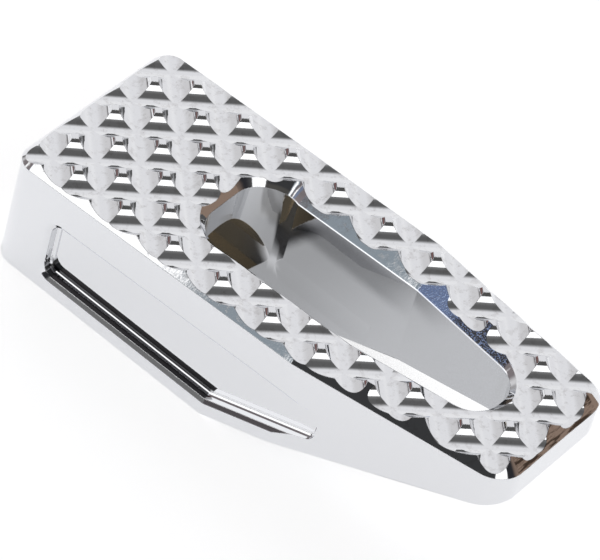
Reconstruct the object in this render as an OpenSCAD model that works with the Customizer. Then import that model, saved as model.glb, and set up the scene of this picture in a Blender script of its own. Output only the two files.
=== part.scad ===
// Billet rear brake pedal pad: one machined block with a cut tread, a long through slot, a shallow
// pocket in each side and a round bore from the rear that opens downwards. Millimetres.
// X runs from the wide rear end to the narrow front end, Y across the pad, Z up from the level rear
// part of the underside. The origin is on the underside, in the middle of the fixing holes.

/* [Block] */
// Length along the tread, rear face to front face
pad_len = 108.7; // [106:0.1:114]
// Width of the straight rear part
pad_w = 44; // [43:0.5:48]
// Thickness at the rear face, tread to underside
rear_t = 26.6; // [26:0.1:30]
// Distance from the rear face to where the sides start to draw in
taper_x = 65.2; // [60:0.1:70]
// Angle at which each side draws in
taper_a = 8; // [6:0.1:9]
// Radius of the upright corners at the rear
corner_r = 4.2; // [4.2:0.1:6]
// Radius of the upright corners at the front
nose_r = 6; // [4.2:0.1:8]
// Chamfer round the edge of the tread
rim_c = 2.9; // [2.4:0.1:3.4]

/* [Underside] */
// Angle between the tread and the level rear part of the underside
pitch_a = 2.4; // [0:0.1:4]
// Distance from the rear end to where the underside starts to rise
heel_x = 50.3; // [45:0.1:55]
// Angle at which the front of the underside rises from level
rise_a = 21; // [18:0.1:23]

/* [Tread] */
// Distance from groove to groove
groove_pitch = 8; // [7.5:0.1:9]
// Radius of the round cutter that made the grooves
groove_r = 3.6; // [3.4:0.1:3.7]
// Depth of the grooves below the tips
groove_d = 2.3; // [1.8:0.1:2.6]
// Distance from the rear face to the first tip on the centreline
tread_x = 5.2; // [3:0.1:8]

/* [Slot] */
// Width of the slot in its straight part
slot_w = 19.8; // [18:0.1:21]
// Distance from the rear face to the rear wall of the slot
slot_x0 = 32.2; // [30:0.1:34]
// Metal left between the slot and the front face
slot_wall = 12.8; // [11.7:0.1:16]
// Distance from the rear face to where the slot starts to draw in
slot_taper_x = 69.2; // [64:0.1:72]
// Radius of the slot's corners
slot_r = 6.35; // [5:0.05:6.5]
// Chamfer round the slot
slot_c = 3.2; // [2.6:0.1:3.6]
// How far the cutter ran past the side wall at one rear corner
slot_over = 0.4; // [0.2:0.1:0.5]
// How far along the slot the cutter stood when it did
slot_run = 0.6; // [0.4:0.1:2]

/* [Side pockets] */
// Depth of each side pocket
pocket_d = 2.4; // [1.6:0.1:4]
// Distance from the rear face to the pocket's wall
pocket_x0 = 11.2; // [9:0.1:14]
// Distance from the rear face to the wall at the pocket's front end
pocket_x1 = 73.1; // [70:0.1:75]
// Distance from the tread down to the pocket's upper wall
pocket_top = 11; // [9:0.1:12]
// Height of the metal left under the pocket's lower wall
pocket_rim = 3.6; // [3:0.1:5]
// Radius of the pocket's corners
pocket_r = 2.4; // [2:0.1:3]
// Radius of the round inside the pocket, where its walls meet its back
pocket_f = 0.75; // [0.4:0.05:1]
// Steep chamfer round the pocket: width on the side face and depth
pocket_c = 0.9; // [0.5:0.05:1.2]
pocket_c_d = 0.55; // [0.3:0.05:0.9]

/* [Bore and fixing] */
// Radius of the bore that takes the pedal's round peg
bore_r = 10.25; // [10.1:0.05:10.6]
// Height of the bore's axis above the underside
bore_z = 8.2; // [7.8:0.1:9]
// Depth of the bore from the rear face
bore_l = 62; // [50:0.5:64]
// Edge break round the underside of the slot
under_c = 1.1; // [0.6:0.1:1.4]
// Radius of the tapped fixing holes
fix_r = 2.5; // [2:0.05:2.6]
// Depth of the tapped fixing holes
fix_d = 12; // [8:0.5:14]
// Distance from the rear end to the first pair of fixing holes
fix_x = 12; // [8:0.5:14]
// Spacing of the fixing holes along the pad
fix_sx = 28; // [20:0.5:30]
// Spacing of the fixing holes across the pad
fix_sy = 29; // [28.6:0.1:29.4]

/* [Hidden] */
$fn = 88;
chrome = [0.87, 0.88, 0.90];
half_w = pad_w / 2;
groove_z = groove_r - groove_d;
slot_x1 = pad_len - slot_wall;
deep = rear_t + 14;
blend = 0.01;

// Six-sided outline, clockwise from above, that draws in from x = bend to the front end
function outline(x0, x1, bend, half) =
    let (front = half - (x1 - bend) * tan(taper_a))
    [[x0, half], [bend, half], [x1, front], [x1, -front], [bend, -half], [x0, -half]];

// Height of the underside over distance x, measured down from the tread
function under(x) = x < heel_x
    ? -rear_t - x * tan(pitch_a)
    : -rear_t - heel_x * tan(pitch_a) + (x - heel_x) * tan(rise_a - pitch_a);

function way(a, b) = (b - a) / norm(b - a);

// Prism along the line from a to b, run past both ends, of a profile of [outward, up] points
module along(a, b, profile) {
    run = 15;
    translate([a.x, a.y, 0]) rotate(atan2(b.y - a.y, b.x - a.x)) translate([-run, 0, 0]) rotate([90, 0, 90])
        linear_extrude(norm(b - a) + 2 * run) polygon(profile);
}

// Waste outside corner i of a convex outline when it is rounded: sec is the profile kept, [radius, up].
// The round is blend wider than a tangent one, so that it crosses both walls cleanly.
module corner_waste(plan, i, r, sec, lo, hi) {
    v = plan[i];
    u = way(v, plan[(i + len(plan) - 1) % len(plan)]);
    w = way(v, plan[(i + 1) % len(plan)]);
    half = acos(u * w) / 2;
    c = v + way([0, 0], u + w) * r / sin(half);
    k = (r + 6) / r;
    difference() {
        translate([0, 0, lo]) linear_extrude(hi - lo) polygon([
            c,
            c + k * (v + u * r / tan(half) - c),
            c + 1.1 * k * (v - c),
            c + k * (v + w * r / tan(half) - c)
        ]);
        translate([c.x, c.y, 0]) rotate_extrude() polygon([for (q = sec) q.x > 0 ? q + [blend, 0] : q]);
    }
}

// Block with its chamfered edge, its tread level at height 0
module block() {
    plan = outline(0, pad_len, taper_x, half_w);
    difference() {
        translate([0, 0, -deep]) linear_extrude(deep) polygon(plan);
        for (i = [0 : 5]) along(plan[i], plan[(i + 1) % 6], [[1, -rim_c - 1], [1, 1], [-rim_c - 1, 1]]);
        for (i = [0, 2, 3, 5]) {
            r = i == 0 || i == 5 ? corner_r : nose_r;
            corner_waste(plan, i, r, [[0, -deep - 2], [r, -deep - 2], [r, -rim_c], [r - rim_c - 1.2, 1.2], [0, 1.2]], -deep - 1, 1);
        }
    }
}

// Two crossing families of round grooves, at 45 degrees to the pad
module grooves() {
    behind = ceil((half_w + tread_x) * cos(45) / groove_pitch);
    ahead = floor((half_w + pad_len - tread_x) * cos(45) / groove_pitch);
    for (turn = [45, -45])
        translate([tread_x, 0, groove_z]) rotate(turn)
            for (n = [-behind : ahead])
                translate([(n + 0.5) * groove_pitch, 0, 0]) rotate([90, 0, 0])
                    cylinder(h = 2 * (pad_len + pad_w), r = groove_r, center = true);
}

// Prism over a convex outline whose listed corners are rounded
module rounded(plan, corners, r, lo, hi) {
    difference() {
        translate([0, 0, lo]) linear_extrude(hi - lo) polygon(plan);
        for (i = corners)
            corner_waste(plan, i, r, [[0, lo - 2], [r, lo - 2], [r, hi + 2], [0, hi + 2]], lo - 1, hi + 1);
    }
}

// Flared edge round the same outline, growing by c over the height tall up to height 0
module flare(plan, corners, r, c, tall, more = 0) {
    k = c / tall;
    low = tall + 0.3;
    x = [for (q = plan) q.x];
    y = [for (q = plan) q.y];
    difference() {
        translate([min(x) - 5, min(y) - 5, -tall - 0.2])
            cube([max(x) - min(x) + 10, max(y) - min(y) + 10, tall + 1.2]);
        for (i = [0 : len(plan) - 1])
            along(plan[i], plan[(i + 1) % len(plan)],
                [[-0.3 * k, -low], [c + 2 * k, 2], [c + 30, 2], [c + 30, -low]]);
        for (i = corners)
            corner_waste(plan, i, r,
                [[0, -low - 1], [r + more - 0.3 * k, -low - 1], [r + more - 0.3 * k, -low], [r + more + c + 2 * k, 2], [0, 2]],
                -low, 1.5);
    }
}

// Slot from far below the tread up through it, with its flared lip
module slot() {
    plan = outline(slot_x0, slot_x1, slot_taper_x, slot_w / 2);
    ends = [0, 2, 3, 5];
    rounded(plan, ends, slot_r, -deep, 1);
    flare(plan, ends, slot_r, slot_c, slot_c);
}

// Mark where the cutter ran past the side wall at one rear corner
module slot_mark() {
    r = slot_r - 0.1;
    translate([slot_x0 + slot_r + slot_run, slot_w / 2 - r + slot_over, 0]) rotate_extrude()
        polygon([[0, -deep], [r, -deep], [r, -slot_c], [r + slot_c + 1, 1], [0, 1]]);
}

// Points of the round at the pocket's foot, three flat steps from wall to back, as [outward, up]
function foot(a) = pocket_f * [cos(a) - 1, 1 - sin(a)];

// Side pocket, its lower edge parallel to the underside, cut in from outside the near side
module pocket() {
    plan = [
        [pocket_x0, -pocket_top],
        [pocket_x1, -pocket_top],
        [pocket_x1, under(pocket_x1) + pocket_rim],
        [heel_x, under(heel_x) + pocket_rim],
        [pocket_x0, under(pocket_x0) + pocket_rim]
    ];
    ends = [0, 1, 2, 4];
    top = foot(0) + 0.4 * (foot(0) - foot(30));
    last = foot(90) + 0.4 * (foot(90) - foot(60));
    core = [pocket_r + 2 * blend, -2 * blend];
    translate([0, -half_w, 0]) rotate([90, 0, 0]) {
        translate([0, 0, -pocket_d]) difference() {
            translate([0, 0, pocket_d]) rounded(plan, ends, pocket_r, -pocket_d, 1);
            for (i = [0 : 4])
                along(plan[i], plan[(i + 1) % 5], [top, foot(30), foot(60), last, [last.x, -1], [1, -1], [1, top.y]]);
            for (i = ends)
                corner_waste(plan, i, pocket_r, [
                    [0, -2],
                    core + [last.x, -2],
                    core + last,
                    core + foot(60),
                    core + foot(30),
                    core + top,
                    core + [1, top.y],
                    core + [1, 2],
                    [0, 2]
                ], -1, 1.5);
        }
        flare(plan, ends, pocket_r, pocket_c, pocket_c_d, 4 * blend);
    }
}

// Blind bore from the rear face, a little wider than the slot, that breaks out through the underside
module bore() {
    translate([-5, 0, bore_z]) rotate([0, 90, 0]) cylinder(h = bore_l + 5, r = bore_r);
}

module fixing_holes() {
    for (x = [fix_x, fix_x + fix_sx])
        for (y = [-fix_sy / 2, fix_sy / 2])
            translate([x, y, -1]) cylinder(h = fix_d + 1, r = fix_r);
}

// Edge break of the slot on the sloping underside, in that slope's own frame
module slot_break() {
    squeeze = cos(rise_a - pitch_a);
    plan = outline((slot_x0 - heel_x) / squeeze, (slot_x1 - heel_x) / squeeze, (slot_taper_x - heel_x) / squeeze, slot_w / 2);
    mirror([0, 0, 1]) flare(plan, [0, 2, 3, 5], slot_r, under_c, under_c);
}

module pad() {
    color(chrome) translate([-fix_x - fix_sx / 2, 0, 0]) difference() {
        rotate([0, -pitch_a, 0]) translate([0, 0, rear_t]) difference() {
            block();
            grooves();
            slot();
            slot_mark();
            pocket();
            mirror([0, 1, 0]) pocket();
        }
        translate([-20, -pad_w, -2 * deep]) cube([pad_len + 60, 2 * pad_w, 2 * deep]);
        translate([heel_x, 0, 0]) rotate([0, -rise_a, 0]) {
            translate([-20, -pad_w, -2 * deep]) cube([pad_len, 2 * pad_w, 2 * deep]);
            slot_break();
        }
        bore();
        fixing_holes();
    }
}

pad();
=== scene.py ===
import math
from types import SimpleNamespace

import bpy
from mathutils import Matrix, Vector


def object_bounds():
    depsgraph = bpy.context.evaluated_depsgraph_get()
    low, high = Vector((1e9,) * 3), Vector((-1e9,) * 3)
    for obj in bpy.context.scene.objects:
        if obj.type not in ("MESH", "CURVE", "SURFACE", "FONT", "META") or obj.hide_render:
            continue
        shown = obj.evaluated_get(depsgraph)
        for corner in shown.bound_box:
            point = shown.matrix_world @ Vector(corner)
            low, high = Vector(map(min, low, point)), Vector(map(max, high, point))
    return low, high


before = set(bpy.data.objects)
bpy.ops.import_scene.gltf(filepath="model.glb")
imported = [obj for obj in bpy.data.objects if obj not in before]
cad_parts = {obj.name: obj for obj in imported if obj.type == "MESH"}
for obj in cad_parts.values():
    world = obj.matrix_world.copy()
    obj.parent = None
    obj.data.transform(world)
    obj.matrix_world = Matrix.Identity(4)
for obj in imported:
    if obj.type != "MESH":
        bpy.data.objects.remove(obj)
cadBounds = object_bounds()
print("frame loaded:", ", ".join(sorted(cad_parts)))


class Wire:
    # One output socket, so that shader maths can be written as Python expressions.

    def __init__(self, graph, socket):
        self.graph = graph
        self.socket = socket

    def combine(self, operation, *values):
        return self.graph.maths(operation, *values)

    def __add__(self, other):
        return self.combine("ADD", self, other)

    def __radd__(self, other):
        return self.combine("ADD", other, self)

    def __sub__(self, other):
        return self.combine("SUBTRACT", self, other)

    def __rsub__(self, other):
        return self.combine("SUBTRACT", other, self)

    def __mul__(self, other):
        return self.combine("MULTIPLY", self, other)

    def __rmul__(self, other):
        return self.combine("MULTIPLY", other, self)

    def __pow__(self, other):
        return self.combine("POWER", self, other)

    def __neg__(self):
        return self.combine("MULTIPLY", self, -1.0)

    def __abs__(self):
        return self.combine("ABSOLUTE", self)

    def least(self, other):
        return self.combine("MINIMUM", self, other)

    def most(self, other):
        return self.combine("MAXIMUM", self, other)

    def ramp(self, low, high):
        # 0 at low and 1 at high, eased.
        settings = {"interpolation_type": "SMOOTHSTEP"}
        return self.graph.node("ShaderNodeMapRange", settings, [self, low, high, 0.0, 1.0])

    def band(self, low, high, soft):
        # 1 from low to high.
        return self.ramp(low - soft, low) * (1 - self.ramp(high, high + soft))


class Graph:
    # A node tree with one method that makes any node.

    def __init__(self, tree):
        self.tree = tree
        self.tree.nodes.clear()

    def node(self, kind, settings=None, inputs=(), output=0):
        made = self.tree.nodes.new(kind)
        for name, value in (settings or {}).items():
            setattr(made, name, value)
        for key, value in inputs.items() if isinstance(inputs, dict) else enumerate(inputs):
            if isinstance(value, Wire):
                self.tree.links.new(value.socket, made.inputs[key])
            else:
                made.inputs[key].default_value = value
        return Wire(self, made.outputs[output]) if made.outputs else None

    def maths(self, operation, *values):
        return self.node("ShaderNodeMath", {"operation": operation}, values)

    def mixColor(self, factor, first, second):
        settings = {"data_type": "RGBA"}
        return self.node("ShaderNodeMix", settings, {0: factor, 6: first, 7: second}, 2)

    def mixVector(self, factor, first, second):
        settings = {"data_type": "VECTOR"}
        return self.node("ShaderNodeMix", settings, {0: factor, 4: first, 5: second}, 1)

    def split(self, vector):
        made = self.node("ShaderNodeSeparateXYZ", None, [vector]).socket.node
        return [Wire(self, out) for out in made.outputs]

    def noise(self, vector, scale, detail, roughness=0.5):
        return self.node("ShaderNodeTexNoise", None, {
            "Vector": vector, "Scale": scale, "Detail": detail, "Roughness": roughness})


def newMaterial(name):
    material = bpy.data.materials.new(name)
    material.use_nodes = True
    return material, Graph(material.node_tree)


black = (0.0, 0.0, 0.0, 1.0)
white = (1.0, 1.0, 1.0, 1.0)

# Lengths in metres. A pair is where a ramp starts and where it is full, and a noise is its scale, detail
# and roughness.
plating = {
    "color": (0.745, 0.75, 0.765, 1.0),
    "roughness": 0.022,
    "skin": (0.00003, 0.00008),      # how far off a plane a point counts as on it
    "tilt": math.radians(2.4),       # slope of the tread
    "treadTop": 0.02769,             # height of the tips over the origin
    "treadFoot": (0.0024, 0.0028),   # depth at which the tread's own finish ends
    "rounds": {"edge": (0.00025, 6), "tip": (0.00015, 4), "crease": (0.00008, 4)},   # radius and samples
    "grain": 0.0000013,
    "slowSwell": (240.0, 2.0),
    "slowShare": 6.0,
    "fineSwell": (2600.0, 2.0),
    # dark of the tool scratches, partly painted dark reflection that they stand in for
    "scratchAndReflectionDark": (0.15, 0.14, 0.13, 1.0),
    "stains": {
        "color": (0.60, 0.595, 0.60, 1.0),
        "blotchNoise": (700.0, 4.0, 0.6),
        "blotches": (0.5, 0.66),
        "speckNoise": (2400.0, 2.0, 0.5),
        "specks": (0.54, 0.68),
        "shares": (0.55, 0.6, 0.15),   # blotches, specks inside them, specks alone
        "depth": (0.0, 0.0006),
        "dulling": 0.07,
    },
    "bore": {
        "axis": (0.0, 0.0082),         # y and z
        "radius": 0.01025,
        "skin": (0.00003, 0.0001),
        "end": (0.003, 0.0125),
        # painted reflection: brown tint standing in for what the bore's wall reflects
        "color": (0.42, 0.37, 0.30, 1.0),
        # painted light: faint glow of the bore's own, though it is no lamp
        "glow": (0.035, 0.030, 0.022, 1.0),
        "dulling": 0.12,
    },
    "frontChamfer": {
        "face": 0.082723,              # place of the front face along the tread
        "width": 0.0029,
        "stretch": (1.0, 0.14, 1.0),   # draws the marks out across the pad
        "noise": (1500.0, 4.0, 0.65),
        "marks": (0.44, 0.58),
        "roughing": 8.0,
    },
    "slotLip": {
        "half": 0.0099,                # half the slot's width
        "width": 0.0032,
        "bend": 0.043223,              # place along the tread where the slot starts to draw in
        "bendSoft": 0.0001,
        "draw": math.radians(8),
        "start": (0.0425, 0.0437),
        "end": (0.066, 0.067),
        # painted reflection: blue tint on the far lip
        "tint": (0.52, 0.63, 0.84, 1.0),
        "noise": (3200.0, 3.0, 0.6),
        "scratchStart": (0.049, 0.054),
        "scratches": (0.42, 0.5),
        "roughing": 12.0,
        "foldNear": (0.004, 0.005),
        "foldFar": (0.0105, 0.011),
        "foldStart": (0.012, 0.016),
        "foldNarrow": 0.5,             # under 1 makes the fold wider than the skin
        # painted highlight: glow of the fold's own
        "foldPaintedHighlight": (0.75, 0.76, 0.78, 1.0),
    },
    "pocket": {
        "depth": (0.0104, 0.0108),
        # Bands, each from low to high with its softness.
        "side": (0.0192, 0.0214, 0.0001),
        "line": (0.01975, 0.01989, 0.00002),
        "steps": (0.01961, 0.02032, 0.00002),
        "z": (0.0033, 0.0047, 0.0003),
        "x": (-0.0163, 0.0238, 0.0003),
        "share": 0.5,                  # how dark the painted shade on the foot is beside its steps
        # painted shade colour of the pocket's foot
        "color": (0.1, 0.1, 0.105, 1.0),
    },
    "deepCorner": {
        "x": (0.0085, 0.020),
        "y": (0.0075, 0.0095),
        "z": (0.0165, 0.0185),
        "glow": (0.030, 0.027, 0.021, 1.0),
    },
}


def onPlane(offset):
    return 1 - abs(offset).ramp(*plating["skin"])


def measurePad(graph):
    # Where a point of the pad lies: its place along the tread and its depth below the tips.
    place = graph.node("ShaderNodeTexCoord", output="Object")
    x, y, z = graph.split(place)
    tilt = plating["tilt"]
    along = x * math.cos(tilt) + z * math.sin(tilt)
    depth = plating["treadTop"] - (z * math.cos(tilt) - x * math.sin(tilt))
    onTread = 1 - depth.ramp(*plating["treadFoot"])
    return SimpleNamespace(place=place, x=x, y=y, z=z, along=along, depth=depth, onTread=onTread)


def findStains(graph, at):
    # Dull spots that the polishing left in the grooves and on the flanks.
    stains = plating["stains"]
    blotches = graph.noise(at.place, *stains["blotchNoise"]).ramp(*stains["blotches"])
    specks = graph.noise(at.place, *stains["speckNoise"]).ramp(*stains["specks"])
    wide, inside, alone = stains["shares"]
    spots = (blotches * wide + specks * blotches * inside + specks * alone).least(1.0)
    return at.onTread * at.depth.ramp(*stains["depth"]) * spots


def findBore(at):
    bore = plating["bore"]
    y, z = bore["axis"]
    fromAxis = ((at.y - y) ** 2 + (at.z - z) ** 2) ** 0.5
    onWall = 1 - abs(fromAxis - bore["radius"]).ramp(*bore["skin"])
    return onWall * (1 - at.x.ramp(*bore["end"]))


def findFrontChamfer(at):
    front = plating["frontChamfer"]
    return onPlane(front["face"] - at.along + at.depth - front["width"])


def findSlotLip(at):
    # The slot's far lip, from just before the slot draws in to its front end. It gets a painted blue
    # reflection and scratch marks.
    lip = plating["slotLip"]
    drawn = at.along.ramp(lip["bend"] - lip["bendSoft"], lip["bend"] + lip["bendSoft"])
    straightLip = onPlane(at.y + at.depth - (lip["half"] + lip["width"]))
    fromWall = (at.y - lip["half"]) * math.cos(lip["draw"])
    fromWall = fromWall + (at.along - lip["bend"]) * math.sin(lip["draw"])
    drawnLip = onPlane(fromWall + at.depth - lip["width"])
    both = straightLip * (1 - drawn) + drawnLip * drawn
    return both * at.along.ramp(*lip["start"]) * (1 - at.along.ramp(*lip["end"]))


def findLipFold(at):
    # The fold between the far lip and the slot's wall, which gets a painted highlight: a glow of its own.
    lip = plating["slotLip"]
    fold = onPlane((at.depth - lip["width"]) * lip["foldNarrow"])
    fold = fold * at.y.ramp(*lip["foldNear"]) * (1 - at.y.ramp(*lip["foldFar"]))
    return fold * at.along.ramp(*lip["foldStart"]) * (1 - at.along.ramp(*lip["end"]))


def findPocket(at):
    # A side pocket, and painted shade on its foot, apart from a light line along its round.
    pocket = plating["pocket"]
    aside = abs(at.y)
    inPocket = at.depth.ramp(*pocket["depth"]) * aside.band(*pocket["side"])
    steps = aside.band(*pocket["steps"])
    foot = (1 - aside.band(*pocket["line"])) * (pocket["share"] + steps * (1 - pocket["share"]))
    return inPocket, inPocket * foot * at.z.band(*pocket["z"]) * at.x.band(*pocket["x"])


def findDeepCorner(at):
    # The slot's far rear corner lies too deep for the few bounces that a render follows, so it gets a
    # painted glow of its own.
    deep = plating["deepCorner"]
    inside = (1 - at.x.ramp(*deep["x"])) * at.y.ramp(*deep["y"]) * at.z.ramp(*deep["z"])
    return inside * (1 - at.onTread)


def makeChrome():
    material, graph = newMaterial("plating")
    at = measurePad(graph)
    stains, bore, front, lip = (plating[name] for name in ("stains", "bore", "frontChamfer", "slotLip"))
    stained = findStains(graph, at)
    inBore = findBore(at)
    onFront = findFrontChamfer(at)
    onLip = findSlotLip(at)
    inPocket, paintedPocketShade = findPocket(at)
    stretched = graph.node("ShaderNodeVectorMath", {"operation": "MULTIPLY"}, [at.place, front["stretch"]])
    marks = graph.noise(stretched, *front["noise"])
    scratches = graph.noise(at.place, *lip["noise"])
    scratched = onLip * at.along.ramp(*lip["scratchStart"]) * scratches.ramp(*lip["scratches"])

    color = graph.mixColor(stained, plating["color"], stains["color"])
    # Painted reflection: brown tint on the bore's wall.
    color = graph.mixColor(inBore, color, bore["color"])
    # Tool marks on the front chamfer, darkened partly as painted dark reflection.
    color = graph.mixColor(onFront * marks.ramp(*front["marks"]), color, plating["scratchAndReflectionDark"])
    # Painted reflection: blue tint on the slot's far lip.
    color = graph.mixColor(onLip, color, lip["tint"])
    # Scratches on the far lip, darkened partly as painted dark reflection.
    color = graph.mixColor(scratched, color, plating["scratchAndReflectionDark"])
    # Painted shade on the side pockets' foot.
    color = graph.mixColor(paintedPocketShade, color, plating["pocket"]["color"])
    rough = plating["roughness"] + stained * stains["dulling"] + inBore * bore["dulling"]

    # Painted light: faint glow in the slot's deep far rear corner.
    glow = graph.mixColor(findDeepCorner(at), black, plating["deepCorner"]["glow"])
    # Painted light: faint glow on the bore's wall.
    glow = graph.mixColor(inBore, glow, bore["glow"])
    # Painted highlight: glow on the fold of the slot's lip.
    glow = graph.mixColor(findLipFold(at), glow, lip["foldPaintedHighlight"])

    edge, tip, crease = (
        graph.node("ShaderNodeBevel", {"samples": samples}, {"Radius": radius})
        for radius, samples in plating["rounds"].values())
    normal = graph.mixVector(inPocket, graph.mixVector(at.onTread, edge, tip), crease)
    swell = graph.noise(at.place, *plating["slowSwell"]) * plating["slowShare"]
    swell = swell + graph.noise(at.place, *plating["fineSwell"])
    swell = swell + onLip * lip["roughing"] * scratches + onFront * front["roughing"] * marks
    ripple = graph.node("ShaderNodeBump", None, {
        "Strength": 1.0, "Distance": plating["grain"], "Height": swell, "Normal": normal})
    shader = graph.node("ShaderNodeBsdfPrincipled", None, {
        "Base Color": color, "Metallic": 1.0, "Roughness": rough, "Normal": ripple,
        "Emission Color": glow, "Emission Strength": 1.0})
    graph.node("ShaderNodeOutputMaterial", None, [shader])
    return material


chrome = makeChrome()
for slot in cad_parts["pad"].material_slots:
    slot.material = chrome
print("plating made")


table = {
    "reach": 3.0,
    "color": (0.8, 0.805, 0.81, 1.0),
    # painted shadow colour of the table under the pad, seen only in reflections
    "underColor": (0.23, 0.24, 0.26, 1.0),
    "seenGlow": (0.68, 0.68, 0.68, 1.0),
    "mirrorGlow": (0.685, 0.69, 0.70, 1.0),
    # The part that the pad stands over, where the table carries a painted shadow in what the plating
    # mirrors.
    "under": {"rear": (-0.027, -0.024), "front": (0.059, 0.079), "side": (0.0185, 0.0215)},
    # Painted light on the table where light falls through the slot, with a painted glint and painted shade,
    # as the slot's walls mirror it.
    "slotLight": {
        "slant": 0.3,
        "start": (0.0061, 0.0096),
        "rise": (0.012, 0.04),
        "low": 0.57,
        "high": 0.84,
        "side": (0.013, 0.016),
    },
    "slotGlint": {"rise": (0.0084, 0.0098), "fall": (0.0102, 0.0125), "y": (0.0005, 0.003), "light": 0.35},
    "slotShade": {"y": (0.0055, 0.0085), "x": (0.025, 0.038), "share": 0.44},
}


# Painted light, glint and shade on the table below the slot, seen only in reflections.
def findSlotLight(x, y):
    lit, glint, shade = (table[name] for name in ("slotLight", "slotGlint", "slotShade"))
    slanted = x + y * lit["slant"]
    even = lit["low"] + x.ramp(*lit["rise"]) * (lit["high"] - lit["low"])
    streak = slanted.ramp(*glint["rise"]) * (1 - slanted.ramp(*glint["fall"])) * y.ramp(*glint["y"])
    through = slanted.ramp(*lit["start"]) * (even + streak * glint["light"])
    through = through * (1 - (-y).ramp(*shade["y"]) * (1 - x.ramp(*shade["x"])) * shade["share"])
    return through * (1 - abs(y).ramp(*lit["side"]))


def makeTable():
    reach = table["reach"]
    low = cadBounds[0][2]
    mesh = bpy.data.meshes.new("table")
    corners = [(-reach, -reach, low), (reach, -reach, low), (reach, reach, low), (-reach, reach, low)]
    mesh.from_pydata(corners, [], [(0, 1, 2, 3)])
    piece = bpy.data.objects.new("table", mesh)
    bpy.context.scene.collection.objects.link(piece)
    material, graph = newMaterial("tablePaper")
    seen = graph.node("ShaderNodeLightPath", output="Is Camera Ray")
    mirrored = graph.node("ShaderNodeLightPath", output="Is Glossy Ray")
    x, y, _ = graph.split(graph.node("ShaderNodeTexCoord", output="Object"))

    covered = table["under"]
    under = x.ramp(*covered["rear"]) * (1 - x.ramp(*covered["front"])) * (1 - abs(y).ramp(*covered["side"]))
    glow = graph.mixColor(seen, black, table["seenGlow"])
    glow = graph.mixColor(mirrored * (1 - under).most(findSlotLight(x, y)), glow, table["mirrorGlow"])
    # Painted shadow under the pad, for glossy rays only.
    color = graph.mixColor(mirrored * under, table["color"], table["underColor"])
    paper = graph.node("ShaderNodeBsdfPrincipled", None, {
        "Base Color": color, "Roughness": 1.0, "Specular IOR Level": 0.0,
        "Emission Color": glow, "Emission Strength": 1.0})
    graph.node("ShaderNodeOutputMaterial", None, [paper])
    mesh.materials.append(material)


# What the plating reflects, a later patch over an earlier one: from and to azimuth, from and to elevation,
# softness of the sides, the lower and the upper edge, all in degrees, then brightness and tint.
room = {
    "ceiling": ((-180, 180), (40, 100), (1, 6, 1), 0.135, (1, 1, 1)),
    "frontDark": ((-130, -46), (36, 62), (3, 3, 6), 0.05, (0.98, 1, 1.04)),
    "overLamp": ((-48, 8), (50, 66), (6, 1, 10), 0.25, (1, 1, 1)),
    "horizon": ((-75, 20), (-20, 24), (3, 5, 1), 0.1, (1, 0.99, 0.97)),
    "shelf": ((18, 76), (-6, 28), (5, 4, 6), 0.31, (1, 0.72, 0.56)),
    "backWall": ((76, 186), (-12, 66), (6, 4, 10), 0.95, (1, 1, 1.02)),
    "wallGlow": ((96, 140), (6, 38), (8, 8, 6), 1.03, (1, 1, 1.01)),
    "wallEnd": ((160, 200), (-12, 60), (14, 4, 10), 0.78, (1, 0.99, 1)),
    "wallGap": ((62, 86), (30, 54), (4, 9, 4), 0.33, (1, 1, 1)),
    "leftWall": ((-172, -117), (6, 46), (8, 6, 3), 0.26, (1, 0.88, 0.9)),
    "leftRed": ((-160, -136), (34, 43), (3, 2, 2), 0.3, (1, 0.52, 0.47)),
    "leftLow": ((164, 236), (-30, 5), (8, 4, 5), 0.12, (1, 0.9, 0.92)),
    "leftLamp": ((-150, -131), (14, 27), (2, 2, 2), 1.5, (1, 1, 1)),
    "frontLow": ((-122, -92), (2, 18), (3, 3, 2), 0.2, (1, 1, 1)),
    "frontLamp": ((-124, -117.2), (16, 37.5), (0.5, 1, 0.5), 1.5, (1, 1, 1)),
    "frontPanel": ((-117.2, -108), (30, 42), (0.5, 2, 1), 0.38, (0.84, 0.97, 1.08)),
    "frontEdge": ((-115.3, -109.5), (15, 41), (0.5, 1, 1), 1.5, (1, 1, 1)),
    "frontBlue": ((-131, -124.3), (28, 37.8), (1, 2, 1), 0.3, (0.75, 0.9, 1.25)),
    "frontStrip": ((-119, -104), (19, 29), (1, 2, 2), 1.5, (1, 1, 1)),
    "rightLamp": ((-42, -3), (25.5, 58), (2, 0.8, 1.2), 1.7, (1, 1, 1)),
}
roomDark = (0.03, 0.03, 0.034, 1.0)


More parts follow.
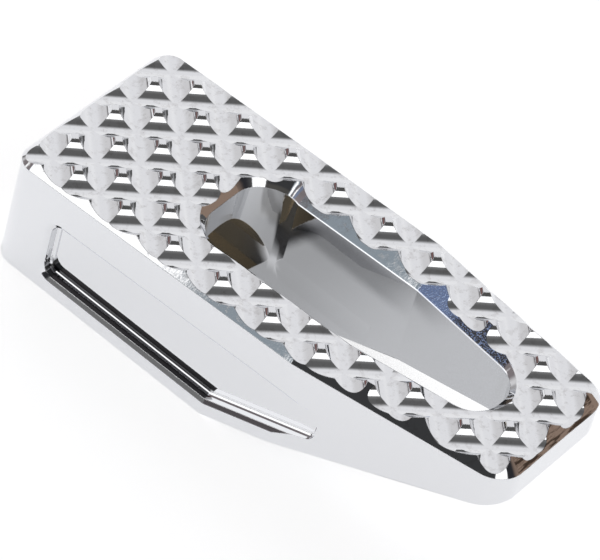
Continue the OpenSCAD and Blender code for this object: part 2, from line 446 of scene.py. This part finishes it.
def makeRoom():
    world = bpy.data.worlds.new("room")
    bpy.context.scene.world = world
    world.use_nodes = True
    graph = Graph(world.node_tree)
    x, y, z = graph.split(graph.node("ShaderNodeTexCoord", output="Generated"))
    elevation = graph.maths("ARCSINE", z) * math.degrees(1)
    color = roomDark
    for (west, east), (low, high), (side, lower, upper), light, tint in room.values():
        turn = math.radians((west + east) / 2)
        ahead = x * math.cos(turn) + y * math.sin(turn)
        aside = y * math.cos(turn) - x * math.sin(turn)
        away = abs(graph.maths("ARCTAN2", aside, ahead)) * math.degrees(1)
        wide = (east - west) / 2
        patch = (1 - away.ramp(wide - side, wide + side)) * elevation.ramp(low - lower, low + lower)
        patch = patch * (1 - elevation.ramp(high - upper, high + upper))
        color = graph.mixColor(patch, color, tuple(light * c for c in tint) + (1.0,))
    seen = graph.node("ShaderNodeLightPath", output="Is Camera Ray")
    color = graph.mixColor(seen, color, white)
    light = graph.node("ShaderNodeBackground", None, {"Color": color, "Strength": 1.0})
    graph.node("ShaderNodeOutputWorld", None, [light])


camera = {
    "place": (0.302907, -0.596807, 0.699248),
    "right": (0.75529627, 0.61381303, 0.22969787),
    "down": (0.58548727, -0.47445472, -0.65734114),
    "ahead": (-0.29450332, 0.63097249, -0.71773359),
    "focal": 316.98,
    "sensor": 36.0,
    "shift": (-0.5 / 600, 0.5 / 600),   # half a pixel
    "clip": (0.01, 20.0),
}


def makeCamera():
    data = bpy.data.cameras.new("camera")
    data.sensor_width = camera["sensor"]
    data.lens = camera["focal"]
    data.shift_x, data.shift_y = camera["shift"]
    data.clip_start, data.clip_end = camera["clip"]
    piece = bpy.data.objects.new("camera", data)
    bpy.context.scene.collection.objects.link(piece)
    right, down, ahead = (Vector(camera[name]) for name in ("right", "down", "ahead"))
    turn = Matrix((right, -down, -ahead)).transposed()
    piece.matrix_world = Matrix.Translation(camera["place"]) @ turn.to_4x4()
    bpy.context.scene.camera = piece


makeTable()
print("table made")
makeRoom()
print("room made")
makeCamera()
bpy.context.scene.view_settings.view_transform = "Standard"
print("camera made")
